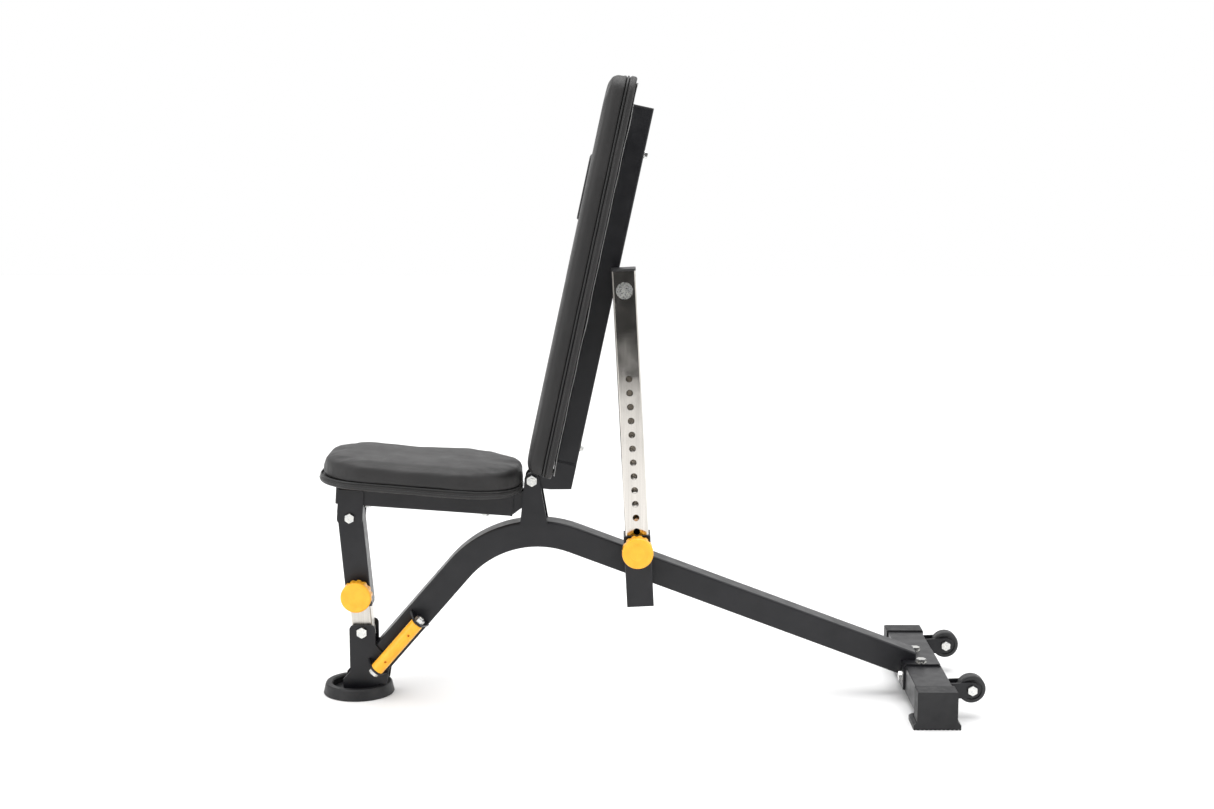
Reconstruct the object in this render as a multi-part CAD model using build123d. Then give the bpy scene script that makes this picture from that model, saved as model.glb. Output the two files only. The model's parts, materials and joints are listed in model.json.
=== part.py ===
from build123d import *
from math import asin, atan2, cos, degrees, hypot, radians, sin, sqrt, tan
import os

# Adjustable weight bench. Millimetres, +Z up, +X towards the rear foot,
# +Y away from the adjusting arm. The origin is on the floor under the middle.

# ---- frame tube -------------------------------------------------------------
BEAM_WIDTH = 50.0            # across the bench, Y
BEAM_DEPTH = 52.0            # in the plane of the bend
TUBE_WALL = 2.5
TUBE_CORNER = 4.0
BEAM_CORNER_X, BEAM_CORNER_Z = -275.5, 363.2    # where the two straight runs would cross
BEND_RADIUS = 202.0          # on the centre line
FRONT_SLOPE = 49.2           # degrees above the floor
REAR_SLOPE = 20.6            # degrees below the horizontal
HALF_BEAM = BEAM_WIDTH / 2

# ---- pivots (X, Z) ------------------------------------------------------------
HINGE = (-224.5, 434.5)      # shared by seat and backrest
SLEEVE_PIVOT = (-17.2, 265.6)
LEG_FOOT_PIVOT = (-561.0, 129.5)
SEAT_REST = 4.0              # seat tilt in the rest pose, front up
BACK_REST = 77.8             # backrest angle in the rest pose
BACK_FLAT = 0.8              # backrest angle when reclined

# ---- feet and wheels ----------------------------------------------------------
FOOT_X = -573.0
FOOT_RADIUS = 70.0
DISC_RADIUS = 51.8
DISC_TOP = 8.0
RING_HEIGHT = 22.0
CROSS_X = 540.5
CROSS_DEPTH, CROSS_HEIGHT = 70.0, 52.0
CROSS_BOTTOM = 18.0
CROSS_HALF_LENGTH = 228.0
CAP_HALF_WIDTH = 232.0
WHEEL_X, WHEEL_Z, WHEEL_Y = 616.0, 57.0, 150.0
WHEEL_RADIUS, WHEEL_WIDTH = 27.0, 24.0

# ---- backrest, in its own frame: X up the back, Z out of the pad ---------------
BACK_PAD_START, BACK_PAD_END = 25.0, 797.0
BACK_PAD_WIDTH = 270.0
BACK_PAD_TOP, BACK_PAD_BOTTOM = 16.0, -35.5
BACK_RAIL_WIDTH, BACK_RAIL_DEPTH = 42.0, 40.0
BACK_RAIL_START, BACK_RAIL_END = 8.0, 747.0
CROSSBAR_THICKNESS = 3.0
CROSSBAR_PLACES = (79.0, 659.0)
ARM_BOLT_ALONG, ARM_BOLT_DROP = 403.5, 96.0

# ---- seat, in its own frame: X towards the rear, Z up ----------------------------
SEAT_PAD_FRONT, SEAT_PAD_REAR = -413.0, -17.5
SEAT_PAD_FRONT_WIDTH, SEAT_PAD_REAR_WIDTH = 236.0, 280.0
SEAT_PAD_TOP = 27.0
SEAT_RAIL_FRONT, SEAT_RAIL_REAR = -380.0, -38.0
SEAT_RAIL_TOP, SEAT_RAIL_SIZE = -25.0, 50.0
LEG_BOLT_BACK, LEG_BOLT_DROP = -350.0, -100.0

# ---- adjusting arm and sleeve -----------------------------------------------------
ARM_SIZE, ARM_WALL = 45.0, 2.0
ARM_Y = -53.0
ARM_ABOVE_BOLT, ARM_BELOW_BOLT = 41.0, 580.0
SLEEVE_SIZE, SLEEVE_WALL, SLEEVE_HALF = 52.0, 2.2, 70.0
SLEEVE_PIN_HEIGHT = 44.0     # pull pin above the sleeve's pivot
HOLE_PITCH, HOLE_COUNT, HOLE_RADIUS = 27.0, 13, 6.5

# ---- seat leg ---------------------------------------------------------------------
POST_SIZE, POST_WALL = 40.0, 2.0
POST_BELOW, POST_ABOVE = 17.0, 180.0
LEG_SIZE = 49.0
LEG_BOTTOM = 54.7            # lower end of the outer tube above the foot pivot
LEG_PIN_HEIGHT = 78.0
LEG_HOLE_PITCH, LEG_HOLES_ABOVE, LEG_HOLES_BELOW = 25.3, 3, 1
LEG_BOLT_CLEARANCE = 3.5     # the leg's upper pivot is left loose by this much

# ---- fasteners and fits --------------------------------------------------------------
RUN = 0.07                   # radial running clearance round a pin
GAP = 0.4                    # space between plates that swing past each other
PLATE = 5.0
EAR = 3.6
M12, M10, M8 = 6.0, 5.0, 4.0                  # shank radii
HEX12, HEX10, HEX8 = 19.0, 17.0, 13.0         # across flats
HEAD = 7.0
PIN_RADIUS = 6.0
PIN_IN, PIN_OUT = 6.5, 2.0   # travel from rest: into the hole, and pulled out
PARTS = {}


# ---- helpers ----------------------------------------------------------------------------
def rod(start, direction, radius, length):
    """A cylinder from start, along direction."""
    plane = Plane(origin=start, z_dir=direction)
    return plane * Cylinder(radius, length, align=(Align.CENTER, Align.CENTER, Align.MIN))


def hexagon(start, direction, across_flats, length):
    """A hexagonal prism from start, along direction, with its outer rim chamfered."""
    outline = RegularPolygon(across_flats / sqrt(3), 6)
    prism = extrude(outline, amount=length)
    cone = Cone(across_flats * 0.56 + length, across_flats * 0.56, length,
                align=(Align.CENTER, Align.CENTER, Align.MIN))
    return Plane(origin=start, z_dir=direction) * (prism & cone)


def tube_ring(start, direction, outer, inner, length):
    """A washer or bush from start, along direction."""
    return rod(start, direction, outer, length) - rod(start, direction, inner, length)


def locknut(start, direction, across_flats, shank, height):
    """A hexagon nut from start, along direction, on a bolt of the given shank radius."""
    return hexagon(start, direction, across_flats, height) - rod(start, direction, shank + 0.05, height)


def block(x0, x1, y0, y1, z0, z1):
    """A box between two corners."""
    return Pos((x0 + x1) / 2, (y0 + y1) / 2, (z0 + z1) / 2) * Box(x1 - x0, y1 - y0, z1 - z0)


def side_plate(outline, y0, y1):
    """A plate with its outline in the XZ plane, from y0 to y1."""
    return extrude(Plane.XZ.offset(-y1) * outline, amount=y1 - y0, dir=(0, -1, 0))


def mirrored(shape):
    """The shape and its mirror image across the bench's middle plane."""
    return Compound(children=[shape, mirror(shape, about=Plane.XZ)])


def hull(*outlines):
    """The outline stretched round several outlines."""
    return make_hull([edge for outline in outlines for edge in outline.edges()])


def group(*shapes):
    """Several separate solids that share one node."""
    return Compound(children=[solid for shape in shapes for solid in shape.solids()])


def square_section(width, depth, wall, corner):
    """Cross-section of a rectangular tube with rounded corners."""
    inner_corner = max(corner - wall, 0.5)
    outer = RectangleRounded(width, depth, corner)
    return outer - RectangleRounded(width - 2 * wall, depth - 2 * wall, inner_corner)


def upright_tube(width, depth, wall, corner, z0, z1):
    """A rectangular tube along Z."""
    return Pos(0, 0, z0) * extrude(square_section(width, depth, wall, corner), amount=z1 - z0)


def level_tube(width, depth, wall, corner, x0, x1):
    """A rectangular tube along X, width across Y and depth in Z, centred on the X axis."""
    section = Plane(origin=(x0, 0, 0), x_dir=(0, 1, 0), z_dir=(1, 0, 0))
    return extrude(section * square_section(width, depth, wall, corner), amount=x1 - x0)


def turned(point, angle):
    """A point (X, Z) turned by angle in degrees from +X towards +Z."""
    c, s = cos(radians(angle)), sin(radians(angle))
    return (point[0] * c - point[1] * s, point[0] * s + point[1] * c)


def add(point, offset):
    return (point[0] + offset[0], point[1] + offset[1])


# ---- where the moving assemblies sit in the rest pose ----------------------------------------
BACK = Pos(HINGE[0], 0, HINGE[1]) * Rot(0, -BACK_REST, 0)
SEAT = Pos(HINGE[0], 0, HINGE[1]) * Rot(0, SEAT_REST, 0)

ARM_BOLT = add(HINGE, turned((ARM_BOLT_ALONG, -ARM_BOLT_DROP), BACK_REST))
ARM_BOLT_FLAT = add(HINGE, turned((ARM_BOLT_ALONG, -ARM_BOLT_DROP), BACK_FLAT))
ARM_REACH = hypot(ARM_BOLT[0] - SLEEVE_PIVOT[0], ARM_BOLT[1] - SLEEVE_PIVOT[1])
ARM_REACH_FLAT = hypot(ARM_BOLT_FLAT[0] - SLEEVE_PIVOT[0], ARM_BOLT_FLAT[1] - SLEEVE_PIVOT[1])
ARM_SLIDE = ARM_REACH - ARM_REACH_FLAT
ARM_LEAN = degrees(atan2(SLEEVE_PIVOT[0] - ARM_BOLT[0], ARM_BOLT[1] - SLEEVE_PIVOT[1]))
ARM = Pos(SLEEVE_PIVOT[0], 0, SLEEVE_PIVOT[1]) * Rot(0, -ARM_LEAN, 0)

LEG_BOLT = add(HINGE, turned((LEG_BOLT_BACK, LEG_BOLT_DROP), -SEAT_REST))
LEG_REACH = hypot(LEG_BOLT[0] - LEG_FOOT_PIVOT[0], LEG_BOLT[1] - LEG_FOOT_PIVOT[1])
LEG_LEAN = degrees(atan2(LEG_FOOT_PIVOT[0] - LEG_BOLT[0], LEG_BOLT[1] - LEG_FOOT_PIVOT[1]))
LEG = Pos(LEG_FOOT_PIVOT[0], 0, LEG_FOOT_PIVOT[1]) * Rot(0, -LEG_LEAN, 0)


# ---- frame -------------------------------------------------------------------------------------
def beam_bend_centre():
    """Centre of the bend's arc."""
    half_turn = radians((FRONT_SLOPE + REAR_SLOPE) / 2)
    inward = radians((FRONT_SLOPE - REAR_SLOPE) / 2 - 90)
    reach = BEND_RADIUS / cos(half_turn)
    return (BEAM_CORNER_X + reach * cos(inward), BEAM_CORNER_Z + reach * sin(inward))


def trim_to_ring(shape):
    """Keeps a foot piece inside the rubber ring's wall."""
    band = block(FOOT_X - 150, FOOT_X + 150, -150, 150, DISC_TOP - 1, RING_HEIGHT + 1)
    core = Pos(FOOT_X, 0, RING_HEIGHT / 2) * Cylinder(DISC_RADIUS - 0.5, RING_HEIGHT + 4)
    return shape - (band - core)


FLANGE_TOP = CROSS_BOTTOM + CROSS_HEIGHT + 4.0
FLANGE_FRONT = CROSS_X - CROSS_DEPTH / 2 - 4.0
BEAM_TIP = 530.0


def make_main_beam():
    front_length, rear_length = 480.0, 900.0
    front = (BEAM_CORNER_X - front_length * cos(radians(FRONT_SLOPE)), 0,
             BEAM_CORNER_Z - front_length * sin(radians(FRONT_SLOPE)))
    rear = (BEAM_CORNER_X + rear_length * cos(radians(REAR_SLOPE)), 0,
            BEAM_CORNER_Z - rear_length * sin(radians(REAR_SLOPE)))
    path = FilletPolyline(front, (BEAM_CORNER_X, 0, BEAM_CORNER_Z), rear, radius=BEND_RADIUS)
    start = Plane(origin=front, x_dir=(0, 1, 0),
                  z_dir=(cos(radians(FRONT_SLOPE)), 0, sin(radians(FRONT_SLOPE))))
    beam = sweep(start * square_section(BEAM_WIDTH, BEAM_DEPTH, TUBE_WALL, TUBE_CORNER), path=path)
    beam -= block(-900, 900, -60, 60, -400, DISC_TOP)
    beam -= block(-900, FOOT_X - 27, -60, 60, -10, 70)
    beam -= block(FLANGE_FRONT, 900, -60, 60, -200, FLANGE_TOP)
    beam -= block(BEAM_TIP, 900, -60, 60, -200, 200)
    beam = trim_to_ring(beam)
    return beam - rod((SLEEVE_PIVOT[0], -40, SLEEVE_PIVOT[1]), (0, 1, 0), 8 + RUN, 80)


def make_front_bracket_plates():
    """Two cheeks that carry the seat leg's lower pivot beside the beam."""
    x, z = LEG_FOOT_PIVOT
    ear = Polygon((x - 25, z - 80), (x - 25, z + 14), (x + 26, z + 14), (x + 26, z - 26),
                  (x + 55, z - 60), (x + 44, DISC_TOP), (FOOT_X - 27, DISC_TOP),
                  (FOOT_X - 27, z - 96), align=None)
    corners = ear.vertices().sort_by(Axis.Y)[-2:]
    ear = fillet(corners, 9)
    plate = side_plate(ear, -HALF_BEAM - PLATE, -HALF_BEAM)
    plate -= rod((x, -60, z), (0, 1, 0), M12 + 0.05, 60)
    return mirrored(trim_to_ring(plate))


def make_foot_disc():
    return Pos(FOOT_X, 0, 3) * Cylinder(DISC_RADIUS, DISC_TOP - 3,
                                        align=(Align.CENTER, Align.CENTER, Align.MIN))


def make_foot_ring():
    """A rubber cup round the steel disc."""
    profile = Polygon((0, 0), (FOOT_RADIUS - 1, 0), (FOOT_RADIUS, 1.5), (FOOT_RADIUS - 1.2, 6),
                      (FOOT_RADIUS - 4, RING_HEIGHT - 3), (FOOT_RADIUS - 6, RING_HEIGHT),
                      (DISC_RADIUS + 2.5, RING_HEIGHT), (DISC_RADIUS + 0.2, RING_HEIGHT - 3),
                      (DISC_RADIUS + 0.2, 3), (0, 3), align=None)
    return Pos(FOOT_X, 0, 0) * revolve(Plane.XZ * profile, axis=Axis.Z)


def make_hinge_bracket_plates():
    """Two cheeks on the beam's crown that carry the seat and backrest hinge."""
    x, z = HINGE
    centre = beam_bend_centre()
    base = Polygon((x - 24, z - 90), (x - 21, z - 66), (x + 25, z - 66), (x + 30, z - 90), align=None)
    cheek = hull(Pos(x, z) * Circle(14.5), base)
    seat_radius = BEND_RADIUS + BEAM_DEPTH / 2 - 4
    cheek -= Pos(*centre) * Circle(seat_radius)
    plate = side_plate(cheek, -HALF_BEAM - PLATE, -HALF_BEAM)
    plate -= rod((x, -60, z), (0, 1, 0), M12 + 0.05, 60)
    return mirrored(plate)


def make_hinge_bolt():
    y0 = -HALF_BEAM - PLATE
    shank = rod((HINGE[0], y0 - 11, HINGE[1]), (0, 1, 0), M12, -2 * y0 + 11)
    return shank + hexagon((HINGE[0], -y0, HINGE[1]), (0, 1, 0), HEX12, HEAD)


def make_leg_pivot_bolt():
    x, z = LEG_FOOT_PIVOT
    y0 = HALF_BEAM + PLATE
    shank = rod((x, -y0, z), (0, 1, 0), M12, 2 * y0 + 11)
    return shank + hexagon((x, -y0, z), (0, -1, 0), HEX12, HEAD)


def make_leg_pivot_spacers():
    x, z = LEG_FOOT_PIVOT
    inner = POST_SIZE / 2 + 0.3
    return mirrored(tube_ring((x, inner, z), (0, 1, 0), 11, M12 + 0.05, HALF_BEAM - inner))


# ---- carrying handle, in its own frame: Z along the beam, origin at the grip's middle ----------
HANDLE = Pos(-489.3, 0, 109.5) * Rot(0, 90 - FRONT_SLOPE, 0)
GRIP_Y, GRIP_RADIUS, GRIP_HALF = -60.0, 13.0, 61.5
TAB_THICKNESS = 4.0


def make_handle_tabs():
    """Two lugs on the beam's side, wide at the weld and round at the bolt."""
    tabs = []
    for z0, root in ((GRIP_HALF + 0.5, -HALF_BEAM), (-GRIP_HALF - 0.5 - TAB_THICKNESS, -HALF_BEAM - PLATE)):
        foot = Polygon((-23, root), (23, root), (23, root - 4), (-23, root - 4), align=None)
        outline = hull(Pos(0, GRIP_Y) * Circle(12), foot)
        tab = Pos(0, 0, z0) * extrude(outline, amount=TAB_THICKNESS)
        tabs.append(tab - rod((0, GRIP_Y, z0), (0, 0, 1), M10 + 0.05, TAB_THICKNESS))
    return HANDLE * group(*tabs)


def make_handle_bolt():
    end = GRIP_HALF + 0.5 + TAB_THICKNESS
    shank = rod((0, GRIP_Y, -end), (0, 0, 1), M10, 2 * end + 11)
    return HANDLE * (shank + hexagon((0, GRIP_Y, -end), (0, 0, -1), HEX10, HEAD))


def make_handle_grip():
    grip = Pos(0, GRIP_Y, 0) * Cylinder(GRIP_RADIUS, 2 * GRIP_HALF)
    grip = fillet(grip.edges().filter_by(GeomType.CIRCLE), 2)
    grip -= Pos(0, GRIP_Y, 0) * Cylinder(M10 + 0.2, 2 * GRIP_HALF)
    for z in (-35, 35):
        grip -= rod((2, GRIP_Y - GRIP_RADIUS - 1, z), (0, 1, 0), 2.4, 7)
    return HANDLE * grip


# ---- rear foot ------------------------------------------------------------------------------------
FLANGE_HALF = 54.0
FLANGE_BOLT_Y = 41.0
FLANGE_BOLT_X = CROSS_X - 2.5
FLANGE_BOLT_Z = 46.0
CROSS_TOP = CROSS_BOTTOM + CROSS_HEIGHT


def flange_bolt_places():
    """Seat point and outward direction of each bolt that holds the beam to the cross tube."""
    for y in (-FLANGE_BOLT_Y, FLANGE_BOLT_Y):
        yield (FLANGE_BOLT_X, y, FLANGE_TOP), (0, 0, 1)
        yield (FLANGE_FRONT, y, FLANGE_BOLT_Z), (-1, 0, 0)


def drill_for_flange_bolts(shape):
    for (x, y, z), (dx, dy, dz) in flange_bolt_places():
        shape -= rod((x, y, z), (-dx, -dy, -dz), M10 + 0.05, 20)
    return shape


def make_rear_flange():
    rear = CROSS_X + CROSS_DEPTH / 2 - 2
    angle = block(FLANGE_FRONT, rear, -FLANGE_HALF, FLANGE_HALF, 22, FLANGE_TOP)
    angle -= block(FLANGE_FRONT + 4, rear, -FLANGE_HALF, FLANGE_HALF, 22, CROSS_TOP)
    angle = fillet(angle.edges().filter_by(Axis.Y).sort_by_distance((FLANGE_FRONT, 0, FLANGE_TOP))[0], 5)
    return drill_for_flange_bolts(angle)


def make_cross_tube():
    section = Plane(origin=(CROSS_X, -CROSS_HALF_LENGTH, CROSS_BOTTOM + CROSS_HEIGHT / 2),
                    x_dir=(1, 0, 0), z_dir=(0, 1, 0))
    profile = square_section(CROSS_DEPTH, CROSS_HEIGHT, TUBE_WALL, 1.5)
    return drill_for_flange_bolts(extrude(section * profile, amount=2 * CROSS_HALF_LENGTH))


def make_flange_bolts():
    bolts = []
    for (x, y, z), (dx, dy, dz) in flange_bolt_places():
        shank = rod((x, y, z), (-dx, -dy, -dz), M10, 16)
        washer = rod((x, y, z), (dx, dy, dz), 10.5, 1.5)
        seat = (x + 1.5 * dx, y + 1.5 * dy, z + 1.5 * dz)
        bolts.append(shank + washer + hexagon(seat, (dx, dy, dz), HEX10, 6))
    return group(*bolts)


def make_end_cap(side):
    """A rubber cap on the cross tube with a flared, ribbed sole."""
    wall, cap_length, sole_top = 3.0, 42.0, 14.0
    inner, outer = CAP_HALF_WIDTH - cap_length, CAP_HALF_WIDTH
    half = CROSS_DEPTH / 2 + wall
    shell = block(CROSS_X - half, CROSS_X + half, inner, outer, sole_top, CROSS_TOP + wall)
    shell = fillet(shell.edges().filter_by(Axis.Y).sort_by(Axis.Z)[-2:], 3)
    sole_half, overhang = 44.5, 22.0
    foot = block(CROSS_X - sole_half, CROSS_X + sole_half, inner - overhang, outer, 0, sole_top)
    foot = chamfer(foot.edges().filter_by(Axis.Y).sort_by(Axis.Z)[-2:], 5)
    foot = chamfer(foot.faces().sort_by(Axis.Z)[-1].edges().filter_by(Axis.X).sort_by(Axis.Y)[0], 5)
    cap = shell + foot
    cap -= block(CROSS_X - CROSS_DEPTH / 2, CROSS_X + CROSS_DEPTH / 2, inner - overhang - 1,
                 CROSS_HALF_LENGTH, CROSS_BOTTOM, CROSS_TOP)
    rib_pitch, groove = 8.0, 1.5
    for i in range(-5, 6):
        x = CROSS_X + i * rib_pitch
        cap -= block(x - groove, x + groove, inner - overhang - 1, outer + 1, -1, groove)
    if side < 0:
        cap = mirror(cap, about=Plane.XZ)
    return cap


def make_wheel_forks():
    """Four teardrop plates, two round each wheel, welded to the cross tube."""
    face = CROSS_X + CROSS_DEPTH / 2
    root = Polygon((face, 40), (face + 8, 40), (face + 8, 70), (face, 70), align=None)
    outline = hull(Pos(WHEEL_X, WHEEL_Z) * Circle(15), root)
    plates = []
    for centre in (-WHEEL_Y, WHEEL_Y):
        for offset in (-WHEEL_WIDTH / 2 - 4.5, WHEEL_WIDTH / 2 + 0.5):
            plate = side_plate(outline, centre + offset, centre + offset + 4)
            plates.append(plate - rod((WHEEL_X, centre - 30, WHEEL_Z), (0, 1, 0), M10 + 0.05, 60))
    return group(*plates)


def make_wheel_bolts():
    bolts = []
    for centre in (-WHEEL_Y, WHEEL_Y):
        y0 = centre - WHEEL_WIDTH / 2 - 4.5
        shank = rod((WHEEL_X, y0, WHEEL_Z), (0, 1, 0), M10, WHEEL_WIDTH + 9 + 10)
        bolts.append(shank + hexagon((WHEEL_X, y0, WHEEL_Z), (0, -1, 0), HEX10, 6))
    return group(*bolts)


def make_frame_nuts():
    """Locknuts on the hinge bolt, the leg's lower pivot bolt, the handle bolt and the wheel bolts."""
    nuts = []
    for (x, z), side in ((HINGE, -1), (LEG_FOOT_PIVOT, 1)):
        start = (x, side * (HALF_BEAM + PLATE), z)
        nuts.append(locknut(start, (0, side, 0), HEX12, M12, 9))
    nuts.append(HANDLE * locknut((0, GRIP_Y, GRIP_HALF + 0.5 + TAB_THICKNESS), (0, 0, 1), HEX10, M10, 8))
    for centre in (-WHEEL_Y, WHEEL_Y):
        start = (WHEEL_X, centre + WHEEL_WIDTH / 2 + 4.5, WHEEL_Z)
        nuts.append(locknut(start, (0, 1, 0), HEX10, M10, 8))
    return group(*nuts)


def make_wheel(centre):
    """A solid transport wheel with a rounded tread, recessed webs and a raised hub."""
    half = WHEEL_WIDTH / 2
    wheel = Cylinder(WHEEL_RADIUS, WHEEL_WIDTH)
    wheel = fillet(wheel.edges().filter_by(GeomType.CIRCLE), 4)
    for side in (-1, 1):
        recess = Cylinder(20, 3) - Cylinder(11, 3)
        wheel -= Pos(0, 0, side * (half - 1.5)) * recess
    wheel -= Cylinder(M10 + RUN, WHEEL_WIDTH)
    return Pos(WHEEL_X, centre, WHEEL_Z) * Rot(90, 0, 0) * wheel


# ---- backrest ----------------------------------------------------------------------------------------
RAIL_FRONT = BACK_PAD_BOTTOM - CROSSBAR_THICKNESS
RAIL_REAR = RAIL_FRONT - BACK_RAIL_DEPTH
BOARD = 12.0


def pad_outline(x0, x1, width0, width1, corner0, corner1, inset=0.0):
    """Plan outline of a pad: width0 at x0, width1 at x1, with round corners."""
    outline = Polygon((x0 + inset, -width0 / 2 + inset), (x1 - inset, -width1 / 2 + inset),
                      (x1 - inset, width1 / 2 - inset), (x0 + inset, width0 / 2 - inset), align=None)
    ends = outline.vertices().sort_by(Axis.X)
    outline = fillet(ends[:2], max(corner0 - inset, 3))
    ends = outline.vertices().sort_by(Axis.X)
    return fillet(ends[-2:], max(corner1 - inset, 3))


def back_outline(inset=0.0):
    return pad_outline(BACK_PAD_START, BACK_PAD_END, BACK_PAD_WIDTH, BACK_PAD_WIDTH, 30, 34, inset)


def cushion_block(outline, pocket, bottom, top, edge):
    """A plain cushion over a board: rounded on top, hollow underneath for the board."""
    cushion = Pos(0, 0, bottom + 0.5) * extrude(outline, amount=top - bottom - 0.5)
    cushion = fillet(cushion.faces().sort_by(Axis.Z)[-1].edges(), edge)
    return cushion - Pos(0, 0, bottom - 1) * extrude(pocket, amount=BOARD + 1.5)


def make_back_cushion():
    cushion = cushion_block(back_outline(), back_outline(9.5), BACK_PAD_BOTTOM, BACK_PAD_TOP, 12)
    return BACK * cushion


def make_back_board():
    board = Pos(0, 0, BACK_PAD_BOTTOM + 1) * extrude(back_outline(10), amount=BOARD - 1)
    for along in CROSSBAR_PLACES:
        board -= rod((along, 0, BACK_PAD_BOTTOM), (0, 0, 1), M8 + 0.05, 10)
    return BACK * board


def make_back_cover():
    """The thin sheet stapled over the back of the board."""
    cover = Pos(0, 0, BACK_PAD_BOTTOM) * extrude(back_outline(10), amount=1)
    for along in CROSSBAR_PLACES:
        cover -= rod((along, 0, BACK_PAD_BOTTOM - 1), (0, 0, 1), M8 + 0.05, 3)
    return BACK * cover


PATCH_START, PATCH_END, PATCH_WIDTH, PATCH_THICKNESS = 514.0, 637.0, 110.0, 3.0


def make_back_patch():
    """A plain raised panel sewn on the front of the pad."""
    patch = RectangleRounded(PATCH_END - PATCH_START, PATCH_WIDTH, 12)
    middle = (PATCH_START + PATCH_END) / 2
    return BACK * Pos(middle, 0, BACK_PAD_TOP + 0.1) * extrude(patch, amount=PATCH_THICKNESS)


def make_pad_crossbars():
    bars = []
    for along in CROSSBAR_PLACES:
        bar = block(along - 15, along + 15, -100, 100, RAIL_FRONT, BACK_PAD_BOTTOM)
        bars.append(bar - rod((along, 0, RAIL_FRONT), (0, 0, 1), M8 + 0.05, CROSSBAR_THICKNESS))
    return BACK * group(*bars)


def make_back_rail():
    middle = (RAIL_FRONT + RAIL_REAR) / 2
    rail = Pos(0, 0, middle) * level_tube(BACK_RAIL_WIDTH, BACK_RAIL_DEPTH, TUBE_WALL, 3,
                                          BACK_RAIL_START + 3, BACK_RAIL_END - 3)
    for along in CROSSBAR_PLACES:
        rail -= rod((along, 0, RAIL_REAR - 1), (0, 0, 1), M8 + 0.05, BACK_RAIL_DEPTH + 2)
    return BACK * rail


def make_back_rail_caps():
    """Plastic plugs in the rail's two ends."""
    middle = (RAIL_FRONT + RAIL_REAR) / 2
    inner_width, inner_depth = BACK_RAIL_WIDTH - 2 * TUBE_WALL - 0.2, BACK_RAIL_DEPTH - 2 * TUBE_WALL - 0.2
    ring = RectangleRounded(inner_width, inner_depth, 1) - Rectangle(inner_width - 4, inner_depth - 4)
    caps = []
    for end, inward in ((BACK_RAIL_END, -1), (BACK_RAIL_START, 1)):
        plane = Plane(origin=(end, 0, middle), x_dir=(0, 1, 0), z_dir=(inward, 0, 0))
        lid = extrude(plane * RectangleRounded(BACK_RAIL_WIDTH, BACK_RAIL_DEPTH, 3), amount=3)
        outer_face = lid.faces().sort_by_distance((end, 0, middle))[0]
        caps.append(fillet(outer_face.edges(), 1.2) + extrude(plane * ring, amount=23))
    return BACK * group(*caps)


def make_back_hinge_ears():
    """Two ears on the rail's sides that turn on the hinge bolt."""
    root = Polygon((-11, RAIL_FRONT), (-2, RAIL_REAR), (21, RAIL_REAR), (21, RAIL_FRONT), align=None)
    strap = Polygon((20, RAIL_REAR), (45, RAIL_REAR), (45, RAIL_FRONT), (20, RAIL_FRONT), align=None)
    outline = hull(Circle(15), root) + strap
    half = BACK_RAIL_WIDTH / 2
    ear = side_plate(outline, -half - EAR, -half)
    ear -= rod((0, -60, 0), (0, 1, 0), M12 + RUN, 60)
    return BACK * mirrored(ear)


ARM_INNER_FACE = ARM_Y + ARM_SIZE / 2


def make_arm_bracket():
    """A boss behind the rail that stands beside the arm's upper bolt."""
    along, drop = ARM_BOLT_ALONG, -ARM_BOLT_DROP
    half = BACK_RAIL_WIDTH / 2
    root = Pos(along, RAIL_REAR - 1) * Rectangle(48, 2)
    outline = hull(Pos(along, drop) * Circle(17), root)
    web = side_plate(outline, -half, -half + 6) + side_plate(outline, half - 6, half)
    boss = rod((along, ARM_INNER_FACE + 0.8, drop), (0, 1, 0), 16, half - ARM_INNER_FACE - 0.8)
    return BACK * (web + boss - rod((along, -60, drop), (0, 1, 0), M12 + 0.05, 120))


def make_arm_bracket_stub():
    """The boss's half of the arm's upper bolt, headed on the far side."""
    along, drop = ARM_BOLT_ALONG, -ARM_BOLT_DROP
    half = BACK_RAIL_WIDTH / 2
    shank = rod((along, ARM_INNER_FACE + 0.8, drop), (0, 1, 0), M12, half - ARM_INNER_FACE - 0.8)
    return BACK * (shank + hexagon((along, half, drop), (0, 1, 0), HEX12, HEAD))


def make_back_pad_bolts():
    """Two long bolts from the back of the rail, through the crossbars, into the board."""
    bolts = []
    for along in CROSSBAR_PLACES:
        head = hexagon((along, 0, RAIL_REAR - 1.5), (0, 0, -1), HEX8, 5.5)
        washer = rod((along, 0, RAIL_REAR), (0, 0, -1), 8.5, 1.5)
        shank = rod((along, 0, RAIL_REAR), (0, 0, 1), M8, BACK_RAIL_DEPTH + CROSSBAR_THICKNESS + 9)
        bolts.append(head + washer + shank)
    return BACK * group(*bolts)


# ---- pull pins, in a frame with the pin along Y and the tube's face at y = face --------------------------
HOUSING_LENGTH = 22.0
STEM_END = 37.5


def make_pin_housing(face):
    shell = rod((0, face, 0), (0, -1, 0), 11.5, HOUSING_LENGTH)
    shell -= rod((0, face, 0), (0, -1, 0), 8.3, HOUSING_LENGTH - 2)
    return shell - rod((0, face, 0), (0, -1, 0), 4.4, HOUSING_LENGTH)


def make_pin(face, reach):
    """The plunger, drawn back so that its tip is reach inside the tube's face."""
    collar = face - PIN_IN - 0.4
    body = rod((0, face + reach, 0), (0, -1, 0), PIN_RADIUS, reach + PIN_IN + 0.4)
    body = chamfer(body.edges().filter_by(GeomType.CIRCLE).sort_by(Axis.Y)[-1], 1)
    body += rod((0, collar, 0), (0, -1, 0), 7.5, 2)
    return body + rod((0, collar - 2, 0), (0, -1, 0), 4.0, collar - 2 - face + STEM_END)


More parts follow.
